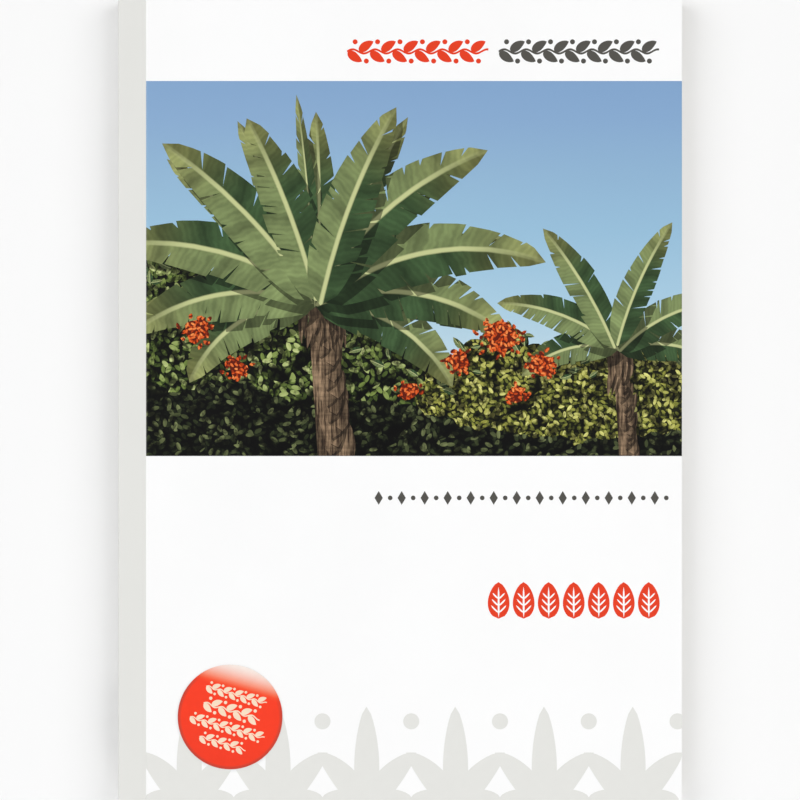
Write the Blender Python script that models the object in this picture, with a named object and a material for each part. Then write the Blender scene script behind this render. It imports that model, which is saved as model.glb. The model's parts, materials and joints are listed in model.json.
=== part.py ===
"""Perfect-bound A5 paperback book, lying on its back cover. Metres, +Z up.

The origin is under the middle of the book. +Y runs to the head and -X to the spine. One sheet of card is
folded round the leaves: the front panel opens at a score line beside the spine, and the leaves turn after it.
"""

import math

import bpy

# Driving dimensions.
PAGE_WIDTH = 0.148
PAGE_HEIGHT = 0.210
BOOK_THICKNESS = 0.008
CARD = 0.0003
GAP = 0.0003
HINGE_INSET = 0.00735      # from the spine's outer face to both score lines
SCORE_DEPTH = 0.0001
SCORE_HALF_WIDTH = 0.0003
FOLD_RADIUS = 0.0005       # outer radius where the card turns round the spine
FOLD_STEPS = 6
HINGE_RISE = 0.00015       # how far the fold's axis is above the closed front panel
LEAF_PACKS = 10
GLUE_THICKNESS = 0.0003
GLUE_WING = 0.0002
GLUE_WING_WIDTH = 0.0052
BADGE_RADIUS = 0.01373
BADGE_THICKNESS = 0.0001
BADGE_X = -0.0446
BADGE_Y = -0.0832
BADGE_SIDES = 96

# Places that follow from them.
SPINE_X = -PAGE_WIDTH / 2
FORE_EDGE_X = PAGE_WIDTH / 2
SCORE_X = SPINE_X + HINGE_INSET
HINGE = (SCORE_X, 0.0, BOOK_THICKNESS + HINGE_RISE)
PANEL_X = SCORE_X + GAP / 2
PANEL_Z = BOOK_THICKNESS - CARD
LEAVES_BOTTOM = CARD + GAP
LEAVES_TOP = PANEL_Z - GAP
PACK_PITCH = (LEAVES_TOP - LEAVES_BOTTOM + GAP) / LEAF_PACKS
PACK_THICKNESS = PACK_PITCH - GAP
GLUE_X = SPINE_X + CARD + GAP

# name: colour, roughness, metallic
FINISHES = {
    "cover_card": ((0.88, 0.88, 0.86, 1.0), 0.35, 0.0),
    "book_paper": ((0.86, 0.84, 0.78, 1.0), 0.85, 0.0),
    "binding_glue": ((0.80, 0.74, 0.55, 1.0), 0.40, 0.0),
    "badge_film": ((0.90, 0.12, 0.05, 1.0), 0.25, 0.0),
}


def clear_scene():
    for item in list(bpy.data.objects):
        bpy.data.objects.remove(item)


def make_finish(name):
    colour, roughness, metallic = FINISHES[name]
    material = bpy.data.materials.new(name)
    material.use_nodes = True
    shader = material.node_tree.nodes["Principled BSDF"]
    shader.inputs["Base Color"].default_value = colour
    shader.inputs["Roughness"].default_value = roughness
    shader.inputs["Metallic"].default_value = metallic
    material.diffuse_color = colour
    return material


def keep(item, name, finish, parent=None):
    """Names an object, gives it its material and puts it in the book's collection."""
    item.name = name
    item.data.name = name
    item.data.materials.append(finish)
    for old in list(item.users_collection):
        old.objects.unlink(item)
    bpy.data.collections["paperback_book"].objects.link(item)
    if parent is not None:
        item.parent = parent
        item.matrix_parent_inverse = parent.matrix_world.inverted()
    return item


def add_hinge(name):
    """An empty on the fold's axis, which carries what turns there."""
    hinge = bpy.data.objects.new(name, None)
    hinge.empty_display_size = 0.01
    hinge.location = HINGE
    bpy.data.collections["paperback_book"].objects.link(hinge)
    bpy.context.view_layer.update()
    return hinge


def add_plate(low, high):
    """A flat plate between two corners, from a cube primitive with its scale applied."""
    middle = [(a + b) / 2 for a, b in zip(low, high)]
    size = [b - a for a, b in zip(low, high)]
    bpy.ops.mesh.primitive_cube_add(size=1.0, location=middle, scale=size)
    plate = bpy.context.active_object
    bpy.ops.object.transform_apply(location=False, rotation=False, scale=True)
    return plate


def arc(centre_x, centre_z, radius, start_deg, end_deg):
    """Points of a round fold, in the plane across the spine."""
    points = []
    for step in range(FOLD_STEPS + 1):
        angle = math.radians(start_deg + (end_deg - start_deg) * step / FOLD_STEPS)
        points.append((centre_x + radius * math.cos(angle), centre_z + radius * math.sin(angle)))
    return points


def add_extrusion(outline, length):
    """A section in X and Z, drawn out evenly to both sides along Y."""
    curve = bpy.data.curves.new("section", "CURVE")
    curve.dimensions = "2D"
    curve.fill_mode = "BOTH"
    curve.extrude = length / 2
    line = curve.splines.new("POLY")
    line.points.add(len(outline) - 1)
    for point, (x, z) in zip(line.points, outline):
        point.co = (x, z, 0.0, 1.0)
    line.use_cyclic_u = True
    body = bpy.data.objects.new("section", curve)
    body.rotation_euler = (math.radians(90), 0.0, 0.0)
    bpy.context.scene.collection.objects.link(body)
    return body


def cover_outline():
    """Section of the folded card: back panel, spine panel and the glued strip, up to the front score line."""
    top = BOOK_THICKNESS
    inner_radius = FOLD_RADIUS - CARD
    outline = [(FORE_EDGE_X, CARD), (FORE_EDGE_X, 0.0)]
    # The back score line, pressed into the outer face.
    outline += [
        (SCORE_X + SCORE_HALF_WIDTH, 0.0),
        (SCORE_X, SCORE_DEPTH),
        (SCORE_X - SCORE_HALF_WIDTH, 0.0),
    ]
    fold_x = SPINE_X + FOLD_RADIUS
    outline += arc(fold_x, FOLD_RADIUS, FOLD_RADIUS, 270, 180)
    outline += arc(fold_x, top - FOLD_RADIUS, FOLD_RADIUS, 180, 90)
    outline += [(SCORE_X - GAP / 2, top), (SCORE_X - GAP / 2, top - CARD)]
    outline += arc(fold_x, top - FOLD_RADIUS, inner_radius, 90, 180)
    outline += arc(fold_x, FOLD_RADIUS, inner_radius, 180, 270)
    return outline


def glue_outline():
    """Section of the glue: a film down the spine, with a thin wing towards each cover panel."""
    near = GLUE_X
    far = GLUE_X + GLUE_WING_WIDTH
    low = LEAVES_BOTTOM
    high = LEAVES_TOP
    return [
        (near, low),
        (far, low),
        (far, low + GLUE_WING),
        (near + GLUE_THICKNESS, low + GLUE_WING),
        (near + GLUE_THICKNESS, high - GLUE_WING),
        (far, high - GLUE_WING),
        (far, high),
        (near, high),
    ]


def make_cover(finish, hinge):
    """The card, in two pieces that meet at the front score line."""
    folded = add_extrusion(cover_outline(), PAGE_HEIGHT)
    keep(folded, "cover_back_and_spine", finish)
    half = PAGE_HEIGHT / 2
    panel = add_plate((PANEL_X, -half, PANEL_Z), (FORE_EDGE_X, half, BOOK_THICKNESS))
    keep(panel, "cover_front_panel", finish, hinge)


def make_badge(finish, hinge):
    """The round sticker, lying just above the front panel."""
    low = BOOK_THICKNESS + GAP
    bpy.ops.mesh.primitive_cylinder_add(
        vertices=BADGE_SIDES,
        radius=BADGE_RADIUS,
        depth=BADGE_THICKNESS,
        location=(BADGE_X, BADGE_Y, low + BADGE_THICKNESS / 2),
    )
    badge = bpy.context.active_object
    badge.data.shade_smooth()
    badge.data.set_sharp_from_angle(angle=math.radians(30))
    keep(badge, "badge_sticker", finish, hinge)


def make_glue(finish):
    keep(add_extrusion(glue_outline(), PAGE_HEIGHT - 2 * GAP), "spine_glue", finish)


def make_bound_edge(finish):
    """The strip where all the leaves are held together, between the glue and the score line."""
    half = PAGE_HEIGHT / 2
    margin = GLUE_WING + GAP
    low = (GLUE_X + GLUE_THICKNESS + GAP, -half, LEAVES_BOTTOM + margin)
    high = (SCORE_X - GAP / 2, half, LEAVES_TOP - margin)
    keep(add_plate(low, high), "bound_leaf_edges", finish)


def make_leaf_packs(finish):
    """Ten packs of leaves, numbered from the front. All but the last turn about the front score line."""
    half = PAGE_HEIGHT / 2
    for number in range(1, LEAF_PACKS + 1):
        top = LEAVES_TOP - PACK_PITCH * (number - 1)
        low = (PANEL_X, -half, top - PACK_THICKNESS)
        high = (FORE_EDGE_X, half, top)
        name = f"leaves_{number:02d}"
        hinge = add_hinge(f"{name}_hinge") if number < LEAF_PACKS else None
        keep(add_plate(low, high), name, finish, hinge)


def main():
    clear_scene()
    book = bpy.data.collections.new("paperback_book")
    bpy.context.scene.collection.children.link(book)
    finishes = {name: make_finish(name) for name in FINISHES}
    cover_hinge = add_hinge("front_cover_hinge")
    make_cover(finishes["cover_card"], cover_hinge)
    make_badge(finishes["badge_film"], cover_hinge)
    make_glue(finishes["binding_glue"])
    make_bound_edge(finishes["book_paper"])
    make_leaf_packs(finishes["book_paper"])


main()
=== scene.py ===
import json
import random
from functools import partialmethod
from math import atan2, copysign, cos, hypot, pi, radians, sin, tau

import bmesh
import bpy
from mathutils import Matrix, Vector
from mathutils.geometry import delaunay_2d_cdt
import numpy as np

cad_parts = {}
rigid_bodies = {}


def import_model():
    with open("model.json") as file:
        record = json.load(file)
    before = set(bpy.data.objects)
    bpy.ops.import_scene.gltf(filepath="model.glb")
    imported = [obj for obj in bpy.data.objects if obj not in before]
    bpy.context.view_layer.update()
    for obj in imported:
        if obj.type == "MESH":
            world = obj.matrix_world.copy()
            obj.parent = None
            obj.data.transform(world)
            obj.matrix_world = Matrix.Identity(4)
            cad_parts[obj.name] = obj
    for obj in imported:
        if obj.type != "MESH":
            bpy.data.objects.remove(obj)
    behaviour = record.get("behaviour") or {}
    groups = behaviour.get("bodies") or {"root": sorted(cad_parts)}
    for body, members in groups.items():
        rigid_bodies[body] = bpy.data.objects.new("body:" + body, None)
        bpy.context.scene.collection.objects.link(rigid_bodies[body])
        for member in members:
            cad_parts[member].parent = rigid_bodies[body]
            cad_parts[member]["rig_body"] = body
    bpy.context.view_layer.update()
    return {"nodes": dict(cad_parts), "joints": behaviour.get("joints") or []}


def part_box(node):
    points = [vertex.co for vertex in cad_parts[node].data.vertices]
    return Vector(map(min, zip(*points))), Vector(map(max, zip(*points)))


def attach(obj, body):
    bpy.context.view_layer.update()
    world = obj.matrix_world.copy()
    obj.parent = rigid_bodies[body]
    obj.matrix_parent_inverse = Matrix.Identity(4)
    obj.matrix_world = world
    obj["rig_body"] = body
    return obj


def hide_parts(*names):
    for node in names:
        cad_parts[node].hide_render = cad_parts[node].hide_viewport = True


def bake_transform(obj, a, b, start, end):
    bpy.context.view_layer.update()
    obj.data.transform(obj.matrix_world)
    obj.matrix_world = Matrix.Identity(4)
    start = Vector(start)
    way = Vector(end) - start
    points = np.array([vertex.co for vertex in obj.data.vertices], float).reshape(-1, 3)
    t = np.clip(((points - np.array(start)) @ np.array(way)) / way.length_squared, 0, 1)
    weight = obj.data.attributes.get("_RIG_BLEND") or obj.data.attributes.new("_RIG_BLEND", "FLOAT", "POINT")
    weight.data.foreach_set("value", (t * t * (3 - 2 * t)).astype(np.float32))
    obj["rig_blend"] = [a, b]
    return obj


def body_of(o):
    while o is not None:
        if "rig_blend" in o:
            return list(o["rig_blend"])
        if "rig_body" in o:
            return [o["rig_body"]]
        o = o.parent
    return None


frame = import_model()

bpy.ops.object.select_all(action="DESELECT")
mm = 0.001
hair = 0.001  # points closer than this many millimetres lie in one place

# The book's own planes in millimetres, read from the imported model.
backLow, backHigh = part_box("cover_back_and_spine")
panelLow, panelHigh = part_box("cover_front_panel")
hingeX, _, hingeZ = frame["joints"][0]["pos_m"]
book = {
    "spine": backLow.x / mm,
    "foreEdge": backHigh.x / mm,
    "tail": backLow.y / mm,
    "head": backHigh.y / mm,
    "top": panelHigh.z / mm,
    "card": (panelHigh.z - panelLow.z) / mm,
    "score": hingeX / mm,
}
book["height"] = book["head"] - book["tail"]


class Signal:
    # One number on a wire. Sums with it add Math nodes.
    def __init__(self, finish, socket):
        self.finish = finish
        self.socket = socket

    def maths(self, operation, *others):
        return self.finish.add("Math", {"operation": operation}, self, *others)

    def __rsub__(self, other):
        return self.finish.add("Math", {"operation": "SUBTRACT"}, other, self)

    __add__ = __radd__ = partialmethod(maths, "ADD")
    __sub__ = partialmethod(maths, "SUBTRACT")
    __mul__ = __rmul__ = partialmethod(maths, "MULTIPLY")
    __truediv__ = partialmethod(maths, "DIVIDE")
    __pow__ = partialmethod(maths, "POWER")
    __gt__ = partialmethod(maths, "GREATER_THAN")
    __lt__ = partialmethod(maths, "LESS_THAN")
    __abs__ = partialmethod(maths, "ABSOLUTE")

    def ramp(self, low, high, start=0.0, end=1.0):
        # Eases from start to end as the number goes from low to high.
        eased = {"interpolation_type": "SMOOTHSTEP"}
        return self.finish.add("MapRange", eased, self, low, high, start, end)

    def output(self, name):
        # Another output of the same node.
        return Signal(self.finish, self.socket.node.outputs[name])


class Finish:
    # One material: its Principled shader, and a short way to add nodes.
    def __init__(self, name, roughness=0.5):
        self.material = bpy.data.materials.new(name)
        self.material.use_nodes = True
        self.tree = self.material.node_tree
        self.shader = self.tree.nodes["Principled BSDF"]
        self.shader.inputs["Roughness"].default_value = roughness

    def feed(self, socket, value):
        if isinstance(value, Signal):
            self.tree.links.new(value.socket, socket)
        elif isinstance(value, tuple):
            socket.default_value = value[:len(socket.default_value)]
        else:
            socket.default_value = value

    def add(self, kind, settings, *values, **named):
        node = self.tree.nodes.new("ShaderNode" + kind)
        for key, value in settings.items():
            if key == "stops":
                self.setStops(node.color_ramp.elements, value)
            else:
                setattr(node, key, value)
        for socket, value in zip(node.inputs, values):
            self.feed(socket, value)
        for key, value in named.items():
            self.feed(node.inputs[key], value)
        return Signal(self, node.outputs[0])

    def setStops(self, elements, stops):
        # A new ramp has two stops already.
        for place, colour in stops[2:]:
            elements.new(place)
        for element, stop in zip(elements, stops):
            element.position, element.color = stop

    def stored(self, name, kind="Color"):
        return self.add("Attribute", {"attribute_name": name}).output(kind)

    def place(self, stretch=(1.0, 1.0, 1.0)):
        # Where the closed book's surface is, in millimetres. A page keeps these numbers as it bends.
        still = (0.0, 0.0, 0.0)
        return self.add("Mapping", {}, self.stored("closed", "Vector"), still, still, stretch)

    def split(self, vector):
        parts = self.add("SeparateXYZ", {}, vector)
        return [parts.output(axis) for axis in "XYZ"]

    def axes(self):
        return self.split(self.place())

    def onOutline(self):
        # Place on the printed outline itself: along and across a leaf, or over a round.
        return self.split(self.add("UVMap", {"uv_map": "across"}))[:2]

    def noise(self, scale, detail, roughness=0.5, stretch=(1.0, 1.0, 1.0), over=None):
        # Noise over the closed book, or over other coordinates.
        vector = over or self.place(stretch)
        return self.add("TexNoise", {}, Vector=vector, Scale=scale, Detail=detail, Roughness=roughness)

    def clouds(self, scale, low, high=1.0, detail=3.0):
        # A soft uneven tone between two brightnesses.
        return self.noise(scale, detail).ramp(0.3, 0.7, low, high)

    def mix(self, factor, first, second):
        # The node mixes numbers and vectors too: inputs 6 and 7 and output 2 are its colours.
        node = self.add("Mix", {"data_type": "RGBA"}, factor)
        self.feed(node.socket.node.inputs[6], first)
        self.feed(node.socket.node.inputs[7], second)
        return node.output(2)

    def dim(self, colour, amount):
        return self.add("VectorMath", {"operation": "SCALE"}, colour, Scale=amount)

    def tinted(self, colour, tint):
        return self.add("VectorMath", {"operation": "MULTIPLY"}, colour, tint)

    def colour(self, value):
        self.feed(self.shader.inputs["Base Color"], value)

    def printed(self, colour, shade):
        # A colour in each outline's own tint, dimmed to a share of it where another's shadow falls.
        light = self.stored("light", "Fac").ramp(0.0, 1.0, shade, 1.0)
        self.colour(self.tinted(self.dim(colour, light), self.stored("tint")))

    def roughness(self, value):
        self.feed(self.shader.inputs["Roughness"], value)

    def bump(self, height, strength, distance):
        normal = self.add("Bump", {}, Strength=strength, Distance=distance * mm, Height=height)
        self.feed(self.shader.inputs["Normal"], normal)


laminate = {"white": 0.90, "gloss": 0.31, "glossSpread": 0.06, "patches": 0.05, "shine": 0.2}


def ink(red, green, blue):
    # A printed colour, from its everyday 0-255 numbers, as white card gives it back.
    def linear(value):
        value = value / 255
        return value / 12.92 if value <= 0.04045 else ((value + 0.055) / 1.055) ** 2.4
    return tuple(linear(value) * laminate["white"] for value in (red, green, blue)) + (1.0,)


def laminated(name):
    # Any print under the cover's clear film: the same slightly uneven gloss all over.
    finish = Finish(name)
    patches = finish.noise(laminate["patches"], 3.0)
    finish.roughness(patches * laminate["glossSpread"] + laminate["gloss"])
    finish.shader.inputs["Specular IOR Level"].default_value = laminate["shine"]
    return finish


def choose(*pieces):
    # Selects these pieces only, or nothing. The first one is active.
    bpy.ops.object.select_all(action="DESELECT")
    for piece in pieces:
        piece.select_set(True)
    bpy.context.view_layer.objects.active = pieces[0] if pieces else None


def enter(mode):
    bpy.ops.object.mode_set(mode=mode)


def liesAt(edge, x):
    return all(abs(end.co.x / mm - x) < hair for end in edge.verts)


def pickEdge(piece, x):
    # In edit mode, selects the edge along the book's height that lies at x.
    bpy.ops.mesh.select_mode(type="EDGE")
    bpy.ops.mesh.select_all(action="DESELECT")
    shell = bmesh.from_edit_mesh(piece.data)
    for edge in shell.edges:
        edge.select_set(liesAt(edge, x))
    bmesh.update_edit_mesh(piece.data)


def sizeNew(name, *sides):
    # Names a new primitive, gives it its size in millimetres and opens it for editing.
    piece = bpy.context.object
    piece.name = piece.data.name = name
    piece.scale = [side * mm for side in sides]
    bpy.ops.object.transform_apply(location=True, rotation=False, scale=True)
    enter("EDIT")
    return piece


def addPanel(name, left, z, finishes):
    # A flat panel from the fore-edge to an x, left in edit mode with its edge at that x selected.
    choose()
    right = book["foreEdge"]
    bpy.ops.mesh.primitive_plane_add(size=1.0, location=((left + right) / 2 * mm, 0.0, z * mm))
    piece = sizeNew(name, right - left, book["height"], 1.0)
    wear(piece, *finishes)
    pickEdge(piece, left)
    return piece


def drawOut(stops, fromX, fromZ):
    # Draws the selected edge out through the stops, each an x and a z.
    for x, z in stops:
        step = ((x - fromX) * mm, 0.0, (z - fromZ) * mm)
        bpy.ops.mesh.extrude_edges_move(TRANSFORM_OT_translate={"value": step})
        fromX, fromZ = x, z


def thicken(piece, thickness, inside=0, rim=0):
    # A wall behind the piece's outer side. inside and rim count on to the finishes they wear.
    wall = piece.modifiers.new("wall", "SOLIDIFY")
    wall.thickness = thickness * mm
    wall.offset = -1.0
    wall.material_offset = inside
    wall.material_offset_rim = rim
    bpy.ops.object.modifier_apply(modifier=wall.name)


def makeWall(piece, thickness, up, inside=0, rim=0):
    # Turns a drawn-out surface into a wall. up tells whether the outer side of its largest face looks up.
    bpy.ops.mesh.select_all(action="SELECT")
    bpy.ops.mesh.normals_make_consistent(inside=False)
    enter("OBJECT")
    largest = max(piece.data.polygons, key=lambda face: face.area)
    if (largest.normal.z > 0) != up:
        enter("EDIT")
        bpy.ops.mesh.flip_normals()
        enter("OBJECT")
    thicken(piece, thickness, inside, rim)
    bpy.ops.object.shade_smooth_by_angle(angle=radians(40))


def wear(piece, *finishes):
    # Comes before the wall and the faces' own slots, which count on it.
    for finish in finishes:
        piece.data.materials.append(finish.material)


def settle(piece, slot, body, *nodes, bend=None):
    # Fixes a finished piece to its body, in place of the plain solids that it stands for. A piece with a
    # bend stays with the block up to the first x, and turns with its body past the second.
    closed = piece.data.attributes.new("closed", "FLOAT_VECTOR", "POINT")
    for point in piece.data.vertices:
        closed.data[point.index].vector = point.co / mm
    if bend:
        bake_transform(piece, "book_block", body, *((x * mm, 0.0, hingeZ) for x in bend))
    else:
        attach(piece, body)
    if nodes:
        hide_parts(*nodes)


# A drawn leaf's tears, in shares of its length. Under 1, "belly" moves its widest part to its base.
leafShape = {"belly": 0.8, "tearHalf": 0.007, "tearClear": 0.012, "tearLean": 0.06, "straight": 0.5}


def blade(base, heading, length, width, bend=0.0, fullness=0.75, steps=10, slits=()):
    # A leaf's outline on a midrib that bends evenly. place() tells how far along and across a point lies.
    start, half = radians(heading), width / 2
    turn = radians(bend if abs(bend) > leafShape["straight"] else leafShape["straight"])
    radius = length / turn
    hand = copysign(1, radius)
    centreX = base[0] - radius * sin(start)
    centreY = base[1] + radius * cos(start)

    def at(along, side):
        reach, angle = radius - side * half, start + turn * along
        return (centreX + reach * sin(angle), centreY - reach * cos(angle))

    def place(x, y):
        dx, dy = (x - centreX) * hand, (y - centreY) * hand
        along = ((atan2(dx, -dy) - start + pi) % tau - pi) / turn
        return (along, (radius - hypot(dx, dy) * hand) / half)

    def rim(sign):
        # One side, from base to tip. A tear runs in along a vein, and the strip past it has its own reach.
        torn = sorted(slit for slit in slits if slit[2] == sign)
        stops = [(step / steps, 1.0) for step in range(1, steps)]
        clear = leafShape["tearClear"]
        stops = [stop for stop in stops if all(abs(stop[0] - slit[0]) > clear for slit in torn)]
        for along, depth, _, _ in torn:
            stops += [(along + lip * leafShape["tearHalf"], 1.0 - depth * (lip == 0)) for lip in (-1, 0, 1)]
        points = []
        for along, share in sorted(stops):
            reach = ([1.0] + [slit[3] for slit in torn if slit[0] < along])[-1]
            fat = sin(pi * along ** leafShape["belly"]) ** fullness
            points.append(at(along - (1.0 - share) * leafShape["tearLean"], sign * share * reach * fat))
        return points

    return {"points": [at(0, 0)] + rim(-1) + [at(1, 0)] + rim(1)[::-1], "place": place}


def disc(x, y, radius, sides, reach=lambda: 1.0):
    # A round outline. reach() gives each point's share of the radius.
    points = []
    for step in range(sides):
        turn, far = tau * step / sides, radius * reach()
        points.append((x + far * cos(turn), y + far * sin(turn)))
    return {"points": points, "place": lambda px, py: ((px - x) / radius, (py - y) / radius)}


def area(*points):
    return {"points": points, "place": lambda x, y: (x, y)}


def coverArea(left, low=book["tail"], high=book["head"]):
    # The cover from an x to the fore-edge. With no ink it is a limit for prints.
    return area((left, low), (book["foreEdge"], low), (book["foreEdge"], high), (left, high))


def lay(shapes, outline, finish, tint=(1.0, 1.0, 1.0), shadow=None):
    # Lays an inked outline over the ones before it. Its shadow has no ink, and only dims them.
    if shadow:
        shapes.append({"points": [(x + shadow[0], y + shadow[1]) for x, y in outline["points"]]})
    shapes.append({**outline, "finish": finish, "tint": (*tint, 1.0)})


def cutOutlines(shapes, folds, backed):
    # Cuts the outlines by each other and by the folds. Gives the corners, the triangles, and which shape
    # each triangle shows, with how lit it is.
    points, rims, lines = [], [], []
    for shape in shapes:
        rims.append(list(range(len(points), len(points) + len(shape["points"]))))
        points += [Vector(point) for point in shape["points"]]
    for fold in folds:
        lines.append((len(points), len(points) + 1))
        points += [Vector((fold, book["tail"])), Vector((fold, book["head"]))]
    corners, _, cut, _, _, owners = delaunay_2d_cdt(points, lines, rims, 1, 1e-5)
    triangles, looks = [], []
    for triangle, over in zip(cut, owners):
        inks = [i for i in over if "finish" in shapes[i]]
        if inks and (0 in over or not backed):
            triangles.append(triangle)
            looks.append((max(inks), 1.0 - any(i > max(inks) for i in over)))
    return corners, triangles, looks


def paintFaces(mesh, spots, shapes, looks, names):
    # Gives each face its ink, tint and light, and its place on its own outline.
    across = mesh.uv_layers.new(name="across")
    # The whole sheet as seen from above fills a second map, OFBake.
    flat = mesh.uv_layers.new(name="OFBake")
    low = [min(spot[axis] for spot in spots) for axis in (0, 1)]
    span = [max(spot[axis] for spot in spots) - low[axis] for axis in (0, 1)]
    tint = mesh.attributes.new("tint", "FLOAT_COLOR", "FACE")
    light = mesh.attributes.new("light", "FLOAT", "FACE")
    for face, (shown, lit) in zip(mesh.polygons, looks):
        shape = shapes[shown]
        face.material_index = names.index(shape["finish"])
        tint.data[face.index].color = shape["tint"]
        light.data[face.index].value = lit
        for corner in face.loop_indices:
            spot = mesh.vertices[mesh.loops[corner].vertex_index].co / mm
            across.uv[corner].vector = shape["place"](spot.x, spot.y)
            flat.uv[corner].vector = [(spot[axis] * mm - low[axis]) / span[axis] for axis in (0, 1)]


def mendCuts(mesh, looks, folds):
    # Takes out the cuts that hidden outlines left inside one ink, and keeps those along a fold.
    work = bmesh.new()
    work.from_mesh(mesh)
    for edge in work.edges:
        sides = {looks[face.index] for face in edge.link_faces}
        edge.seam = len(sides) > 1 or any(liesAt(edge, fold) for fold in folds)
    bmesh.ops.dissolve_limit(work, angle_limit=1e-3, verts=work.verts, edges=work.edges, delimit={"SEAM"})
    bmesh.ops.triangulate(work, faces=work.faces)
    bmesh.ops.dissolve_degenerate(work, dist=1e-7, edges=work.edges)
    work.to_mesh(mesh)
    work.free()


def cutSheet(name, shapes, finishes, top, thickness, backed=True, folds=()):
    # One flat printed sheet, cut from outlines laid over each other so that no two inks overlap. A backed
    # sheet is trimmed to its first shape, and folds are extra cuts across it.
    corners, triangles, looks = cutOutlines(shapes, folds, backed)
    used = sorted({corner for triangle in triangles for corner in triangle})
    number = {corner: i for i, corner in enumerate(used)}
    spots = [(corners[i].x * mm, corners[i].y * mm, top * mm) for i in used]
    mesh = bpy.data.meshes.new(name)
    mesh.from_pydata(spots, [], [[number[corner] for corner in triangle] for triangle in triangles])
    sheet = bpy.data.objects.new(name, mesh)
    bpy.context.scene.collection.objects.link(sheet)
    wear(sheet, *finishes.values())
    paintFaces(mesh, spots, shapes, looks, list(finishes))
    mendCuts(mesh, looks, folds)
    choose(sheet)
    thicken(sheet, thickness)
    print(name, "cut:", len(shapes), "shapes,", len(mesh.polygons), "faces")
    return sheet


print("helpers ready")

# The cover card: printed white outside with a grey band over the spine, plain white inside, cut edges.
card = {
    "white": ink(255, 255, 255),
    "band": ink(231, 231, 227),
    "foldRadius": 0.5,
    "foldSteps": 8,
    "grooveDepth": 0.10,
    "grooveHalf": 0.45,
    "seam": 0.95,  # how far left of the score the opening panel starts
    "bend": (-0.15, 1.2),  # where it folds, from the score
    "creases": (1.2, 1.0, 0.8, 0.6, 0.45, 0.3, 0.15, 0.0, -0.15, -0.3, -0.45),
    "film": 0.02,  # how far a print stands out from the card
    "inset": 1.2,  # how thick a front print is, in films: its underside is in the card
}

badge = {
    "x": -44.6,
    "y": -83.2,
    "radius": 13.73,
    "sides": 144,
    "tilt": radians(-16.0),
    "sticker": 0.12,
    "red": ink(255, 61, 28),
    # deep, glow, shine and rim are painted light: painted shade towards the bottom and along the lower rim,
    # and a painted highlight at the top.
    "deep": ink(226, 46, 22),
    "glow": ink(255, 128, 72),
    "shine": ink(255, 244, 236),
    "rim": ink(138, 72, 62),
    "cream": ink(255, 228, 200),
    "shadowDrop": 0.35,
    "shadowInner": 0.5,  # how far inside the rim the shadow starts to fade
    "shadowSpread": 0.9,
    "shadowDepth": 0.16,
    # Rows: height above the middle, tallness and reach to each side, in radii.
    "rows": ((0.44, 0.30, 0.60), (0.12, 0.38, 0.56), (-0.21, 0.30, 0.74), (-0.52, 0.30, 0.46)),
}


def groove(x):
    # How deep the score is pressed at x.
    away = min(abs(x - book["score"]) / card["grooveHalf"], 1.0)
    return card["grooveDepth"] * (1 + cos(pi * away)) / 2


def settleFront(piece, *nodes):
    # The front panel and its prints fold at the score.
    bend = [book["score"] + edge for edge in card["bend"]]
    settle(piece, "cover_card", "front_cover", *nodes, bend=bend)


def printFront(name, shapes, finishes):
    # A print on the front panel. It is cut at each crease and follows the groove down.
    folds = [book["score"] + crease for crease in card["creases"] if crease > 0]
    film = card["film"]
    sheet = cutSheet(name, shapes, finishes, book["top"] + film, film * card["inset"], folds=folds)
    for point in sheet.data.vertices:
        point.co.z -= groove(point.co.x / mm) * mm
    settleFront(sheet)


def cardOutside():
    finish = laminated("cardOutside")
    x, y, z = finish.axes()
    clouds = finish.clouds(0.03, 0.985)
    colour = finish.mix(x < book["score"], card["white"], card["band"])
    # The badge's shadow lies a little below it, on the front only.
    across, down = x - badge["x"], y - (badge["y"] - badge["shadowDrop"])
    away = (across * across + down * down) ** 0.5
    start, end = badge["radius"] - badge["shadowInner"], badge["radius"] + badge["shadowSpread"]
    shade = away.ramp(start, end, badge["shadowDepth"], 0.0) * (z > book["top"] / 2)
    # Handling dulls the folds of the spine.
    scuffs = finish.noise(1.6, 4.0, stretch=(1.0, 0.25, 1.0)).ramp(0.58, 0.75)
    rubbed = (x < book["spine"] + card["foldRadius"]) * scuffs * 0.05
    finish.colour(finish.dim(colour, clouds * (1.0 - shade) * (1.0 - rubbed)))
    finish.bump(finish.noise(1.2, 3.0), 0.05, 0.02)
    return finish


def fibres(name, colour, roughness, depth):
    # Bare card: soft mottling and short fibres.
    finish = Finish(name, roughness)
    mottle = finish.clouds(0.35, 1.0 - depth, detail=4.0)
    threads = finish.noise(5.0, 3.0, 0.7, stretch=(1.0, 0.3, 1.0))
    finish.colour(finish.dim(colour, mottle * threads.ramp(0.2, 0.8, 0.98, 1.0)))
    finish.bump(threads, 0.25, 0.01)
    return finish


cardFaces = (
    cardOutside(),
    fibres("cardInside", ink(250, 249, 245), 0.7, 0.015),
    fibres("cardEdge", ink(250, 249, 246), 0.8, 0.04),
)


def makeFoldedCard():
    # The back panel, the spine and the glued strip: one sheet drawn out round the block.
    radius, top, half = card["foldRadius"], book["top"], card["grooveHalf"]
    score, spine = book["score"], book["spine"]
    piece = addPanel("cover_card_back", score + half, 0.0, cardFaces)
    creases = [score + crease for crease in card["creases"] if crease < half]
    drawOut([(x, groove(x)) for x in creases] + [(spine + radius, 0.0)], score + half, 0.0)
    quarter = {"steps": card["foldSteps"], "angle": radians(-90), "axis": (0.0, 1.0, 0.0)}
    bpy.ops.mesh.spin(**quarter, center=((spine + radius) * mm, 0.0, radius * mm))
    drawOut([(spine, top - radius)], spine, radius)
    bpy.ops.mesh.spin(**quarter, center=((spine + radius) * mm, 0.0, (top - radius) * mm))
    drawOut([(score - card["seam"], top)], spine + radius, top)
    makeWall(piece, book["card"], up=False, inside=1, rim=2)
    settle(piece, "cover_card", "book_block", "cover_back_and_spine")


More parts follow.
